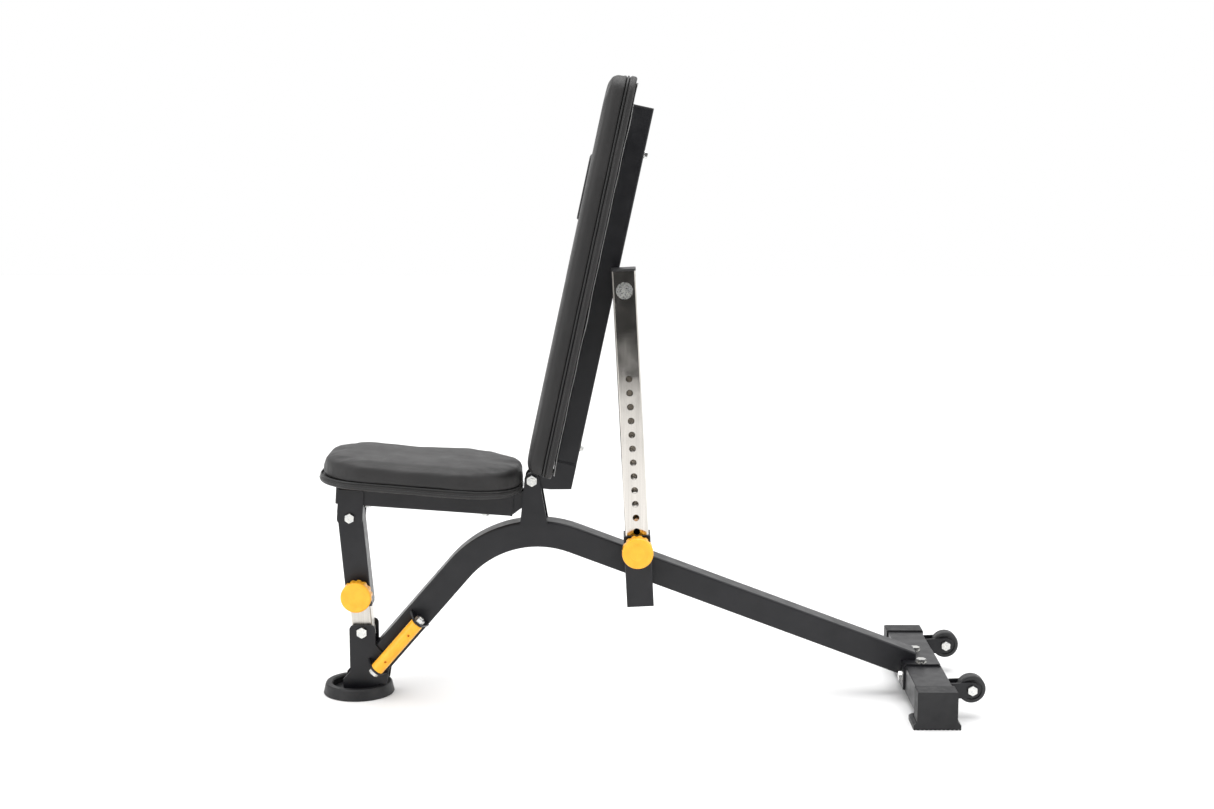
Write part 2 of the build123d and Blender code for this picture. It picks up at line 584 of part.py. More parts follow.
def make_pin_spring(face):
    """The coil between the plunger's collar and the housing's end."""
    wire, radius = 0.5, 6.0
    start = face - PIN_IN - 2.4 - wire - 0.2
    length = HOUSING_LENGTH - 2 - PIN_IN - 2.4 - 2 * wire - 0.4
    coil = Helix(pitch=length / 3, height=length, radius=radius)
    profile = Plane(origin=coil @ 0, z_dir=coil % 0) * Circle(wire)
    return Pos(0, start, 0) * Rot(90, 0, 0) * sweep(profile, path=coil, is_frenet=True)


KNOB_RADIUS, KNOB_DEPTH, KNOB_LOBES = 30.0, 27.4, 14


def make_knob(face):
    """A round knob with a scalloped skirt, hollow at the back to clear the housing."""
    back = face - 12.0
    knob = rod((0, back, 0), (0, -1, 0), KNOB_RADIUS, KNOB_DEPTH)
    knob = fillet(knob.edges().filter_by(GeomType.CIRCLE).sort_by(Axis.Y)[0], 4)
    front = back - KNOB_DEPTH
    knob += tube_ring((0, front + 1, 0), (0, -1, 0), 19, 16, 1.6)
    for i in range(KNOB_LOBES):
        angle = radians(360 / KNOB_LOBES * (i + 0.5))
        reach = KNOB_RADIUS + 3.5
        knob -= rod((reach * cos(angle), back + 1, reach * sin(angle)), (0, -1, 0), 5.5, KNOB_DEPTH - 7)
    knob -= rod((0, back, 0), (0, -1, 0), 13.5, 20)
    return knob - rod((0, face, 0), (0, -1, 0), 4.0, STEM_END)


# ---- sleeve and arm, in the arm's frame -------------------------------------------------------------------
SLEEVE_FACE = ARM_Y - SLEEVE_SIZE / 2
ARM_FACE = ARM_Y - ARM_SIZE / 2


def make_sleeve_tube():
    tube = Pos(0, ARM_Y, 0) * upright_tube(SLEEVE_SIZE, SLEEVE_SIZE, SLEEVE_WALL, 3,
                                           -SLEEVE_HALF, SLEEVE_HALF)
    tube -= rod((0, SLEEVE_FACE - 1, SLEEVE_PIN_HEIGHT), (0, 1, 0), PIN_RADIUS + 0.3, 8)
    return ARM * tube


def make_sleeve_liner():
    """Plastic guides in both ends of the sleeve."""
    inner, outer = ARM_SIZE + 0.2, SLEEVE_SIZE - 2 * SLEEVE_WALL
    ring = RectangleRounded(outer, outer, 1) - Rectangle(inner, inner)
    length = 14.0
    low = Pos(0, ARM_Y, -SLEEVE_HALF) * extrude(ring, amount=length)
    high = Pos(0, ARM_Y, SLEEVE_HALF - length) * extrude(ring, amount=length)
    return ARM * group(low, high)


def make_sleeve_stud():
    """The stud welded to the sleeve that turns in the beam."""
    face = ARM_Y + SLEEVE_SIZE / 2
    flange = rod((0, face, 0), (0, 1, 0), 16, -HALF_BEAM - GAP - face)
    return ARM * (flange + rod((0, face, 0), (0, 1, 0), 8, HALF_BEAM + 14 - face))


def make_sleeve_nut():
    start = (0, HALF_BEAM + 2, 0)
    washer = tube_ring((0, HALF_BEAM + GAP, 0), (0, 1, 0), 14, 8.05, 2 - GAP)
    nut = locknut(start, (0, 1, 0), 24, 8, 10)
    return ARM * (nut + washer)


def at_arm_pin(shape):
    return ARM * Pos(0, 0, SLEEVE_PIN_HEIGHT) * shape


def arm_hole_heights():
    """Heights of the arm's holes above the sleeve's pivot, lowest first."""
    lowest = SLEEVE_PIN_HEIGHT
    highest = lowest + ARM_SLIDE
    first = highest - (HOLE_COUNT - 2) * HOLE_PITCH
    return [lowest] + [first + i * HOLE_PITCH for i in range(HOLE_COUNT - 1)]


def make_arm_tube():
    bottom = ARM_REACH - ARM_BELOW_BOLT + 3
    top = ARM_REACH + ARM_ABOVE_BOLT - 4
    tube = Pos(0, ARM_Y, 0) * upright_tube(ARM_SIZE, ARM_SIZE, ARM_WALL, 3.5, bottom, top)
    for z in arm_hole_heights():
        tube -= rod((0, ARM_FACE - 1, z), (0, 1, 0), HOLE_RADIUS, 8)
    return ARM * (tube - rod((0, -100, ARM_REACH), (0, 1, 0), M12 + 0.05, 90))


def make_arm_caps():
    """Plastic plugs in the arm's two ends."""
    inner = ARM_SIZE - 2 * ARM_WALL - 0.2
    caps = []
    for end, direction, lip in ((ARM_REACH + ARM_ABOVE_BOLT, -1, 4), (ARM_REACH - ARM_BELOW_BOLT, 1, 3)):
        lid = extrude(RectangleRounded(ARM_SIZE + 1.5, ARM_SIZE + 1.5, 4), amount=direction * lip)
        ring = RectangleRounded(inner, inner, 2) - Rectangle(inner - 4, inner - 4)
        plug = extrude(ring, amount=direction * 18)
        if direction > 0:
            lid = extrude(RectangleRounded(ARM_SIZE, ARM_SIZE, 3.5), amount=lip)
        caps.append(ARM * Pos(0, ARM_Y, end) * (lid + plug))
    return group(*caps)


def make_arm_bolt():
    """The arm's half of its upper bolt."""
    return ARM * rod((0, ARM_FACE - 13, ARM_REACH), (0, 1, 0), M12, ARM_INNER_FACE - ARM_FACE + 13)


def make_arm_washer():
    start = (0, ARM_FACE, ARM_REACH)
    return ARM * tube_ring(start, (0, -1, 0), 16, M12 + 0.05, 2)


def make_arm_nut():
    start = (0, ARM_FACE - 2, ARM_REACH)
    return ARM * locknut(start, (0, -1, 0), HEX12, M12, 9)


# ---- seat --------------------------------------------------------------------------------------------------
def seat_outline(inset=0.0):
    return pad_outline(SEAT_PAD_FRONT, SEAT_PAD_REAR, SEAT_PAD_FRONT_WIDTH, SEAT_PAD_REAR_WIDTH,
                       90, 110, inset)


def make_seat_cushion():
    return SEAT * cushion_block(seat_outline(), seat_outline(9.5), SEAT_RAIL_TOP, SEAT_PAD_TOP, 12)


SEAT_SCREW_PLACES = (SEAT_RAIL_FRONT + 60, SEAT_RAIL_REAR - 50)


def make_seat_board():
    board = Pos(0, 0, SEAT_RAIL_TOP) * extrude(seat_outline(10), amount=BOARD)
    for x in SEAT_SCREW_PLACES:
        board -= rod((x, 0, SEAT_RAIL_TOP - 1), (0, 0, 1), M8 + 0.05, 10)
    return SEAT * board


def make_seat_rail():
    rail = Pos(0, 0, SEAT_RAIL_TOP - SEAT_RAIL_SIZE / 2) * level_tube(
        SEAT_RAIL_SIZE, SEAT_RAIL_SIZE, TUBE_WALL, 3, SEAT_RAIL_FRONT + 3, SEAT_RAIL_REAR)
    for x in SEAT_SCREW_PLACES:
        rail -= rod((x, 0, SEAT_RAIL_TOP - SEAT_RAIL_SIZE - 1), (0, 0, 1), M8 + 0.05, SEAT_RAIL_SIZE + 2)
    return SEAT * rail


def make_seat_rail_cap():
    """A plastic plug in the seat rail's front end."""
    inner = SEAT_RAIL_SIZE - 2 * TUBE_WALL - 0.2
    middle = SEAT_RAIL_TOP - SEAT_RAIL_SIZE / 2
    plane = Plane(origin=(SEAT_RAIL_FRONT, 0, middle), x_dir=(0, 1, 0), z_dir=(1, 0, 0))
    lid = extrude(plane * RectangleRounded(SEAT_RAIL_SIZE, SEAT_RAIL_SIZE, 3), amount=3)
    plug = extrude(plane * (RectangleRounded(inner, inner, 1) - Rectangle(inner - 4, inner - 4)),
                   amount=20)
    return SEAT * (fillet(lid.faces().sort_by(Axis.X)[0].edges(), 1.2) + plug)


def make_seat_pad_bolts():
    """Two long bolts from under the seat rail into the board."""
    bottom = SEAT_RAIL_TOP - SEAT_RAIL_SIZE
    bolts = []
    for x in SEAT_SCREW_PLACES:
        head = hexagon((x, 0, bottom - 1.5), (0, 0, -1), HEX8, 5.5)
        washer = rod((x, 0, bottom), (0, 0, -1), 8.5, 1.5)
        bolts.append(head + washer + rod((x, 0, bottom), (0, 0, 1), M8, SEAT_RAIL_SIZE + 8))
    return SEAT * group(*bolts)


def make_seat_hinge_ears():
    """A U bracket on the seat rail's rear end that turns on the hinge bolt."""
    bottom = SEAT_RAIL_TOP - SEAT_RAIL_SIZE
    outer = BACK_RAIL_WIDTH / 2 - GAP
    plate = block(SEAT_RAIL_REAR, SEAT_RAIL_REAR + 4, -HALF_BEAM, HALF_BEAM, bottom, SEAT_RAIL_TOP)
    root = Pos(SEAT_RAIL_REAR + 4, bottom + 26) * Rectangle(2, 46)
    elbow = Pos(-4, SEAT_RAIL_TOP - 10) * Circle(9)
    outline = hull(root, elbow) + hull(elbow, Circle(13))
    ears = side_plate(outline, -outer, -outer + EAR) + side_plate(outline, outer - EAR, outer)
    return SEAT * (plate + ears - rod((0, -60, 0), (0, 1, 0), M12 + RUN, 120))


def make_seat_leg_ears():
    """Two lugs on the seat rail's sides that hold the leg's upper bolt."""
    x, z = LEG_BOLT_BACK, LEG_BOLT_DROP
    outline = Polygon((x - 25, z - 15), (x - 25, SEAT_RAIL_TOP - 20), (x + 25, SEAT_RAIL_TOP - 20),
                      (x + 25, z - 15), align=None)
    outline = fillet(outline.vertices().sort_by(Axis.Y)[:2], 12)
    ear = side_plate(outline, -HALF_BEAM - 4, -HALF_BEAM)
    return SEAT * mirrored(ear - rod((x, -60, z), (0, 1, 0), M10 + 0.05, 60))


def make_seat_leg_bolt():
    x, z = LEG_BOLT_BACK, LEG_BOLT_DROP
    y0 = HALF_BEAM + 4
    bolt = rod((x, -y0, z), (0, 1, 0), M10, 2 * y0)
    near = hexagon((x, -y0, z), (0, -1, 0), HEX10, HEAD)
    return SEAT * (bolt + near + hexagon((x, y0, z), (0, 1, 0), HEX10, HEAD))


# ---- seat leg, in its own frame: Z up the leg from its lower pivot --------------------------------------------
def leg_hole_heights():
    steps = range(-LEG_HOLES_BELOW, LEG_HOLES_ABOVE + 1)
    return [LEG_PIN_HEIGHT + i * LEG_HOLE_PITCH for i in steps]


def make_leg_post():
    post = upright_tube(POST_SIZE, POST_SIZE, POST_WALL, 3, -POST_BELOW, POST_ABOVE)
    post -= rod((0, -60, 0), (0, 1, 0), M12 + RUN, 120)
    for z in leg_hole_heights():
        post -= rod((0, -POST_SIZE / 2 - 1, z), (0, 1, 0), HOLE_RADIUS, 8)
    return LEG * post


def make_leg_outer_tube():
    top = LEG_REACH + 16
    tube = upright_tube(LEG_SIZE, LEG_SIZE, TUBE_WALL, 3, LEG_BOTTOM, top)
    tube -= rod((0, -60, LEG_REACH), (0, 1, 0), M10 + LEG_BOLT_CLEARANCE, 120)
    return LEG * (tube - rod((0, -60, LEG_PIN_HEIGHT), (0, 1, 0), PIN_RADIUS + 0.3, 60))


def make_leg_liner():
    """Plastic guides below and above the pull pin."""
    inner, outer = POST_SIZE + 0.2, LEG_SIZE - 2 * TUBE_WALL
    ring = RectangleRounded(outer, outer, 1) - Rectangle(inner, inner)
    low = Pos(0, 0, LEG_BOTTOM) * extrude(ring, amount=13)
    collar = RectangleRounded(LEG_SIZE - 1, LEG_SIZE - 1, 3) - Rectangle(inner, inner)
    low += Pos(0, 0, LEG_BOTTOM - 5) * extrude(collar, amount=5)
    high = Pos(0, 0, LEG_PIN_HEIGHT + 12) * extrude(ring, amount=30)
    return LEG * group(low, high)


def at_leg_pin(shape):
    return LEG * Pos(0, 0, LEG_PIN_HEIGHT) * shape


LEG_FACE = -LEG_SIZE / 2
PARTS.update({
    "main_beam": make_main_beam(),
    "front_bracket_plates": make_front_bracket_plates(),
    "foot_disc": make_foot_disc(),
    "foot_ring": make_foot_ring(),
    "hinge_bracket_plates": make_hinge_bracket_plates(),
    "hinge_bolt": make_hinge_bolt(),
    "leg_pivot_bolt": make_leg_pivot_bolt(),
    "leg_pivot_spacers": make_leg_pivot_spacers(),
    "handle_tabs": make_handle_tabs(),
    "handle_bolt": make_handle_bolt(),
    "handle_grip": make_handle_grip(),
    "rear_flange": make_rear_flange(),
    "cross_tube": make_cross_tube(),
    "flange_bolts": make_flange_bolts(),
    "end_cap_near": make_end_cap(-1),
    "end_cap_far": make_end_cap(1),
    "wheel_forks": make_wheel_forks(),
    "wheel_bolts": make_wheel_bolts(),
    "frame_nuts": make_frame_nuts(),
    "wheel_near": make_wheel(-WHEEL_Y),
    "wheel_far": make_wheel(WHEEL_Y),
    "back_rail": make_back_rail(),
    "back_rail_caps": make_back_rail_caps(),
    "back_hinge_ears": make_back_hinge_ears(),
    "arm_bracket": make_arm_bracket(),
    "arm_bracket_stub": make_arm_bracket_stub(),
    "pad_crossbars": make_pad_crossbars(),
    "back_pad_bolts": make_back_pad_bolts(),
    "back_board": make_back_board(),
    "back_cover": make_back_cover(),
    "back_cushion": make_back_cushion(),
    "back_patch": make_back_patch(),
    "arm_tube": make_arm_tube(),
    "arm_caps": make_arm_caps(),
    "arm_bolt": make_arm_bolt(),
    "arm_washer": make_arm_washer(),
    "arm_nut": make_arm_nut(),
    "sleeve_tube": make_sleeve_tube(),
    "sleeve_liner": make_sleeve_liner(),
    "sleeve_stud": make_sleeve_stud(),
    "sleeve_nut": make_sleeve_nut(),
    "back_pin_housing": at_arm_pin(make_pin_housing(SLEEVE_FACE)),
    "back_pin_spring": at_arm_pin(make_pin_spring(SLEEVE_FACE)),
    "back_pin": at_arm_pin(make_pin(SLEEVE_FACE, ARM_FACE - SLEEVE_FACE - 0.5)),
    "back_knob": at_arm_pin(make_knob(SLEEVE_FACE)),
    "seat_rail": make_seat_rail(),
    "seat_rail_cap": make_seat_rail_cap(),
    "seat_hinge_ears": make_seat_hinge_ears(),
    "seat_leg_ears": make_seat_leg_ears(),
    "seat_leg_bolt": make_seat_leg_bolt(),
    "seat_pad_bolts": make_seat_pad_bolts(),
    "seat_board": make_seat_board(),
    "seat_cushion": make_seat_cushion(),
    "leg_post": make_leg_post(),
    "leg_outer_tube": make_leg_outer_tube(),
    "leg_liner": make_leg_liner(),
    "leg_pin_housing": at_leg_pin(make_pin_housing(LEG_FACE)),
    "leg_pin_spring": at_leg_pin(make_pin_spring(LEG_FACE)),
    "leg_pin": at_leg_pin(make_pin(LEG_FACE, -POST_SIZE / 2 - LEG_FACE - 0.5)),
    "leg_knob": at_leg_pin(make_knob(LEG_FACE)),
})

os.makedirs("parts", exist_ok=True)
for name, shape in PARTS.items():
    export_step(shape, f"parts/{name}.step")
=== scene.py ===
"""Adjustable weight bench: upholstery, weld beads, finishes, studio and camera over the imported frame."""
import json
from math import atan2, cos, pi, radians, sin

import bpy
from mathutils import Matrix, Vector, noise


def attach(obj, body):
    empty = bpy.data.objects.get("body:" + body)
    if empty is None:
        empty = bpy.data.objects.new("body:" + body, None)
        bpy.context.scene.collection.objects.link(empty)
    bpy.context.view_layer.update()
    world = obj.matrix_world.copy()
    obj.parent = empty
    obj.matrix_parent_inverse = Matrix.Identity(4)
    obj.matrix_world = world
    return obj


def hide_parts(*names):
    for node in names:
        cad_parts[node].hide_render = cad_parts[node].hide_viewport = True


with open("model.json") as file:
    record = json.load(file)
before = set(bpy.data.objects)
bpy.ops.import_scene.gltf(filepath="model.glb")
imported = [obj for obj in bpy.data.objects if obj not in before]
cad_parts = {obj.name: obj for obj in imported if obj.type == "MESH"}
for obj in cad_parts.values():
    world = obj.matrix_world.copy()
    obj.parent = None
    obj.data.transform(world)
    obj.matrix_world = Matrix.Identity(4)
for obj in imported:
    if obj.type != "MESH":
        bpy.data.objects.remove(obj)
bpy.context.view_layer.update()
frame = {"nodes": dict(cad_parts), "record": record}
cad = frame["nodes"]
scene = bpy.context.scene

# ---- places and sizes that the upholstery shares with the CAD model, in metres ------------------
HINGE = Vector((-0.2245, 0.0, 0.4345))
BACK_ANGLE, SEAT_ANGLE = 77.8, 4.0
BACK = Matrix.Translation(HINGE) @ Matrix.Rotation(radians(-BACK_ANGLE), 4, "Y")
SEAT = Matrix.Translation(HINGE) @ Matrix.Rotation(radians(SEAT_ANGLE), 4, "Y")

BACK_START, BACK_END, BACK_WIDTH = 0.0265, 0.7955, 0.268     # the vinyl's outer edge, along the back
SEAT_FRONT, SEAT_REAR = -0.4095, -0.0190
SEAT_FRONT_WIDTH, SEAT_REAR_WIDTH = 0.234, 0.277
BACK_SEAM, SEAT_SEAM = -0.0190, -0.0112                      # height of the piped seam
PANEL_START, PANEL_END, PANEL_WIDTH = 0.514, 0.637, 0.110
PANEL_BASE = 0.0150
SHEET_START = 0.0360
SHEET_HEIGHT = -0.0358
CROSSBAR_PLACES = (0.079, 0.659)


# ================================ materials ======================================================
class Paint:
    """A material's node tree, with short ways to add nodes to it."""

    def __init__(self, name, color, roughness, metallic=0.0):
        self.material = bpy.data.materials.new(name)
        self.material.use_nodes = True
        self.tree = self.material.node_tree
        self.shader = self.tree.nodes["Principled BSDF"]
        self.shader.inputs["Base Color"].default_value = (*color, 1.0)
        self.shader.inputs["Roughness"].default_value = roughness
        self.shader.inputs["Metallic"].default_value = metallic
        self.place = self.add("ShaderNodeTexCoord").outputs["Object"]
        self.normal = None

    def add(self, kind, **values):
        node = self.tree.nodes.new(kind)
        for key, value in values.items():
            node.inputs[key.replace("_", " ")].default_value = value
        return node

    def link(self, out, into):
        self.tree.links.new(out, into)

    def stretched(self, scale):
        """Object coordinates with a scale of their own on each axis."""
        mapping = self.add("ShaderNodeMapping")
        mapping.inputs["Scale"].default_value = scale
        self.link(self.place, mapping.inputs["Vector"])
        return mapping.outputs["Vector"]

    def noise(self, scale, detail=3.0, rough=0.55, place=None):
        node = self.add("ShaderNodeTexNoise", Scale=scale, Detail=detail, Roughness=rough)
        self.link(place or self.place, node.inputs["Vector"])
        return node.outputs["Fac"]

    def cells(self, scale, feature="DISTANCE_TO_EDGE", place=None):
        node = self.add("ShaderNodeTexVoronoi", Scale=scale)
        node.feature = feature
        self.link(place or self.place, node.inputs["Vector"])
        return node.outputs["Distance"]

    def remap(self, value, low, high, to_low, to_high):
        node = self.add("ShaderNodeMapRange")
        limits = {"From Min": low, "From Max": high, "To Min": to_low, "To Max": to_high}
        for key, number in limits.items():
            node.inputs[key].default_value = number
        self.link(value, node.inputs["Value"])
        return node.outputs["Result"]

    def vary_roughness(self, value, low, high, to_low, to_high):
        self.link(self.remap(value, low, high, to_low, to_high), self.shader.inputs["Roughness"])

    def vary_color(self, value, dark, light, low=0.3, high=0.7):
        ramp = self.add("ShaderNodeValToRGB")
        ramp.color_ramp.elements[0].position = low
        ramp.color_ramp.elements[0].color = (*dark, 1.0)
        ramp.color_ramp.elements[1].position = high
        ramp.color_ramp.elements[1].color = (*light, 1.0)
        self.link(value, ramp.inputs["Fac"])
        self.link(ramp.outputs["Color"], self.shader.inputs["Base Color"])

    def bump(self, value, distance, strength=1.0):
        """Stacks another bump on those already there."""
        node = self.add("ShaderNodeBump", Distance=distance, Strength=strength)
        self.link(value, node.inputs["Height"])
        if self.normal is not None:
            self.link(self.normal, node.inputs["Normal"])
        self.normal = node.outputs["Normal"]
        self.link(self.normal, self.shader.inputs["Normal"])


def frame_paint():
    p = Paint("powder_coat_black", (0.007, 0.007, 0.009), 0.36)
    p.shader.inputs["Specular IOR Level"].default_value = 0.38
    p.vary_color(p.noise(14.0, 4.0), (0.005, 0.005, 0.0065), (0.010, 0.010, 0.012))
    p.vary_roughness(p.noise(45.0, 4.0), 0.3, 0.7, 0.30, 0.42)
    p.bump(p.noise(420.0, 2.0), 0.00035, 0.35)
    p.bump(p.noise(1500.0, 2.0), 0.0001, 0.3)
    return p.material


def rubber():
    p = Paint("moulded_rubber_black", (0.008, 0.008, 0.009), 0.55)
    p.shader.inputs["Specular IOR Level"].default_value = 0.4
    p.vary_color(p.noise(22.0, 5.0), (0.006, 0.006, 0.007), (0.012, 0.012, 0.013))
    p.vary_roughness(p.noise(60.0, 4.0), 0.3, 0.7, 0.42, 0.62)
    p.bump(p.noise(900.0, 3.0), 0.0002, 0.5)
    p.bump(p.cells(260.0, "F1"), 0.00015, 0.25)
    return p.material


def wheel_rubber():
    p = Paint("wheel_polyurethane_black", (0.02, 0.02, 0.021), 0.4)
    p.vary_color(p.noise(70.0, 5.0), (0.006, 0.006, 0.007), (0.014, 0.014, 0.015))
    p.vary_roughness(p.noise(120.0, 4.0), 0.3, 0.7, 0.32, 0.55)
    p.bump(p.noise(1100.0, 2.0), 0.00012, 0.5)
    return p.material


def zinc():
    p = Paint("zinc_plated_steel", (0.66, 0.66, 0.64), 0.3, 1.0)
    p.vary_color(p.noise(180.0, 4.0), (0.56, 0.57, 0.58), (0.76, 0.75, 0.70))
    p.vary_roughness(p.noise(300.0, 4.0), 0.3, 0.7, 0.20, 0.38)
    p.bump(p.noise(1400.0, 3.0), 0.00008, 0.5)
    return p.material


def chrome_tube():
    p = Paint("chromed_arm", (0.72, 0.70, 0.67), 0.1, 1.0)
    drawn = p.stretched((420.0, 420.0, 7.0))
    p.vary_color(p.noise(1.0, 4.0, place=drawn), (0.54, 0.515, 0.48), (0.68, 0.65, 0.61))
    p.vary_roughness(p.noise(30.0, 5.0), 0.3, 0.7, 0.07, 0.16)
    p.bump(p.noise(1.0, 3.0, place=drawn), 0.00003, 0.5)
    return p.material


def brushed_post():
    p = Paint("brushed_steel_post", (0.60, 0.575, 0.53), 0.32, 1.0)
    drawn = p.stretched((900.0, 900.0, 10.0))
    p.vary_color(p.noise(1.0, 5.0, place=drawn), (0.47, 0.45, 0.41), (0.70, 0.67, 0.62))
    p.vary_roughness(p.noise(1.0, 4.0, place=drawn), 0.3, 0.7, 0.24, 0.42)
    p.bump(p.noise(1.0, 4.0, place=drawn), 0.00006, 0.7)
    return p.material


def pin_steel():
    p = Paint("turned_pin_steel", (0.62, 0.62, 0.62), 0.25, 1.0)
    rings = p.stretched((10.0, 1500.0, 10.0))
    p.vary_roughness(p.noise(1.0, 3.0, place=rings), 0.3, 0.7, 0.16, 0.34)
    p.bump(p.noise(1.0, 3.0, place=rings), 0.00003, 0.6)
    return p.material


def yellow_plastic():
    p = Paint("moulded_yellow_plastic", (0.90, 0.42, 0.016), 0.34)
    p.shader.inputs["Subsurface Weight"].default_value = 0.06
    p.shader.inputs["Subsurface Radius"].default_value = (0.004, 0.002, 0.001)
    p.vary_color(p.noise(60.0, 3.0), (0.84, 0.385, 0.013), (0.93, 0.445, 0.020))
    p.vary_roughness(p.noise(140.0, 4.0), 0.3, 0.7, 0.28, 0.42)
    p.bump(p.noise(900.0, 2.0), 0.0001, 0.35)
    return p.material


def black_plastic():
    p = Paint("moulded_black_plastic", (0.02, 0.02, 0.021), 0.42)
    p.vary_color(p.noise(50.0, 4.0), (0.015, 0.015, 0.016), (0.028, 0.028, 0.029))
    p.vary_roughness(p.noise(160.0, 3.0), 0.3, 0.7, 0.34, 0.52)
    p.bump(p.cells(650.0, "F1"), 0.0001, 0.4)
    return p.material


def vinyl():
    """Upholstery vinyl: pebbled grain with fine pores, a broad satin sheen and faint handling marks."""
    p = Paint("upholstery_vinyl", (0.010, 0.0095, 0.0095), 0.44)
    p.shader.inputs["Specular IOR Level"].default_value = 0.42
    p.shader.inputs["Sheen Weight"].default_value = 0.02
    p.shader.inputs["Sheen Roughness"].default_value = 0.45
    p.vary_color(p.noise(9.0, 5.0), (0.008, 0.0075, 0.0075), (0.0135, 0.0125, 0.0125))
    p.vary_roughness(p.noise(26.0, 5.0), 0.3, 0.7, 0.40, 0.52)
    warp = p.add("ShaderNodeVectorMath")
    warp.operation = "MULTIPLY_ADD"
    swirl = p.add("ShaderNodeTexNoise", Scale=240.0, Detail=2.0)
    p.link(p.place, swirl.inputs["Vector"])
    p.link(swirl.outputs["Color"], warp.inputs[0])
    warp.inputs[1].default_value = (0.0016, 0.0016, 0.0016)
    p.link(p.place, warp.inputs[2])
    grain = p.cells(620.0, place=warp.outputs["Vector"])
    p.bump(p.remap(grain, 0.0, 0.16, 0.0, 1.0), 0.00022, 0.55)
    p.bump(p.noise(2200.0, 2.0), 0.00005, 0.5)
    p.bump(p.noise(34.0, 3.0), 0.0012, 0.22)
    return p.material


def seam_vinyl():
    p = Paint("piping_vinyl", (0.007, 0.007, 0.007), 0.42)
    p.vary_color(p.noise(40.0, 4.0), (0.005, 0.005, 0.005), (0.009, 0.009, 0.009))
    p.vary_roughness(p.noise(200.0, 3.0), 0.3, 0.7, 0.36, 0.50)
    p.bump(p.cells(800.0, "F1"), 0.0002, 0.5)
    return p.material


def thread():
    p = Paint("bonded_thread_black", (0.030, 0.030, 0.031), 0.6)
    twist = p.stretched((2600.0, 2600.0, 2600.0))
    p.vary_color(p.noise(1.0, 2.0, place=twist), (0.018, 0.018, 0.019), (0.050, 0.050, 0.051))
    p.bump(p.noise(1.0, 2.0, place=twist), 0.00012, 0.8)
    p.shader.inputs["Sheen Weight"].default_value = 0.2
    return p.material


def plywood():
    p = Paint("birch_plywood", (0.52, 0.38, 0.22), 0.62)
    grain = p.stretched((16.0, 420.0, 420.0))
    p.vary_color(p.noise(1.0, 6.0, place=grain), (0.40, 0.27, 0.15), (0.60, 0.46, 0.29))
    p.bump(p.noise(1.0, 6.0, place=grain), 0.0002, 0.6)
    return p.material


def backing_cloth():
    """Pale spun-bonded sheet with its quilted bond points."""
    p = Paint("spun_bonded_sheet", (0.42, 0.42, 0.415), 0.85)
    p.vary_color(p.noise(900.0, 4.0), (0.36, 0.36, 0.355), (0.48, 0.48, 0.475))
    p.bump(p.cells(650.0, "F1"), 0.0002, 0.7)
    p.bump(p.noise(1600.0, 3.0), 0.0001, 0.5)
    return p.material


def floor_finish():
    p = Paint("studio_floor", (0.86, 0.86, 0.86), 0.6)
    p.vary_color(p.noise(1.3, 3.0), (0.855, 0.855, 0.855), (0.87, 0.87, 0.87))
    p.shader.inputs["Specular IOR Level"].default_value = 0.2
    return p.material


FINISHES = {
    "frame_paint": frame_paint(),
    "black_rubber": rubber(),
    "wheel_rubber": wheel_rubber(),
    "zinc": zinc(),
    "pin_steel": pin_steel(),
    "arm_chrome": chrome_tube(),
    "post_silver": brushed_post(),
    "yellow_plastic": yellow_plastic(),
    "black_plastic": black_plastic(),
    "vinyl": vinyl(),
    "board_wood": plywood(),
    "backing_cloth": backing_cloth(),
}
PIPING, THREAD = seam_vinyl(), thread()
BEVELS = {"frame_paint": 0.0006, "zinc": 0.0004, "yellow_plastic": 0.0005, "black_plastic": 0.0004,
          "black_rubber": 0.0008, "wheel_rubber": 0.0005}


def finish_cad_nodes():
    """Gives every CAD node its finish, and takes the sharpness off the edges of those whose finish has a
    bevel width in BEVELS.
    """
    for part in frame["record"]["subparts"]:
        slot = part["material_slot"]
        obj = cad[part["node"]]
        obj.data.materials.clear()
        obj.data.materials.append(FINISHES[slot])
        if slot in BEVELS:
            bevel = obj.modifiers.new("soft_edges", "BEVEL")
            bevel.width = BEVELS[slot]
            bevel.segments = 2
            bevel.limit_method = "ANGLE"
            bevel.angle_limit = radians(40)


# ================================ mesh helpers ===================================================
def new_object(name, verts, faces, material, smooth=True):
    """A mesh object in the scene, with its one material."""
    mesh = bpy.data.meshes.new(name)
    mesh.from_pydata([tuple(v) for v in verts], [], faces)
    mesh.update()
    obj = bpy.data.objects.new(name, mesh)
    scene.collection.objects.link(obj)
    mesh.materials.append(material)
    if smooth:
        mesh.shade_smooth()
    return obj


def apply_modifiers(obj):
    """Replaces the object's mesh with what its modifiers make of it."""
    depsgraph = bpy.context.evaluated_depsgraph_get()
    mesh = bpy.data.meshes.new_from_object(obj.evaluated_get(depsgraph), depsgraph=depsgraph)
    old = obj.data
    obj.modifiers.clear()
    obj.data = mesh
    bpy.data.meshes.remove(old)


def loops_to_mesh(loops):
    """Vertices and faces of a skin through equal loops, with the first and last loop capped."""
    n = len(loops[0])
    verts = [v for loop in loops for v in loop]
    faces = []
    for k in range(len(loops) - 1):
        for i in range(n):
            j = (i + 1) % n
            faces.append((k * n + i, k * n + j, (k + 1) * n + j, (k + 1) * n + i))
    faces.append(tuple(reversed(range(n))))
    faces.append(tuple(range((len(loops) - 1) * n, len(loops) * n)))
    return verts, faces


def rounded_rows(rows, repeats=2):
    """Cuts the corners of a profile, again and again, until it is round."""
    for _ in range(repeats):
        cut = [rows[0]]
        for a, b in zip(rows, rows[1:]):
            cut.append(tuple(0.75 * p + 0.25 * q for p, q in zip(a, b)))
            cut.append(tuple(0.25 * p + 0.75 * q for p, q in zip(a, b)))
        rows = cut + [rows[-1]]
    return rows


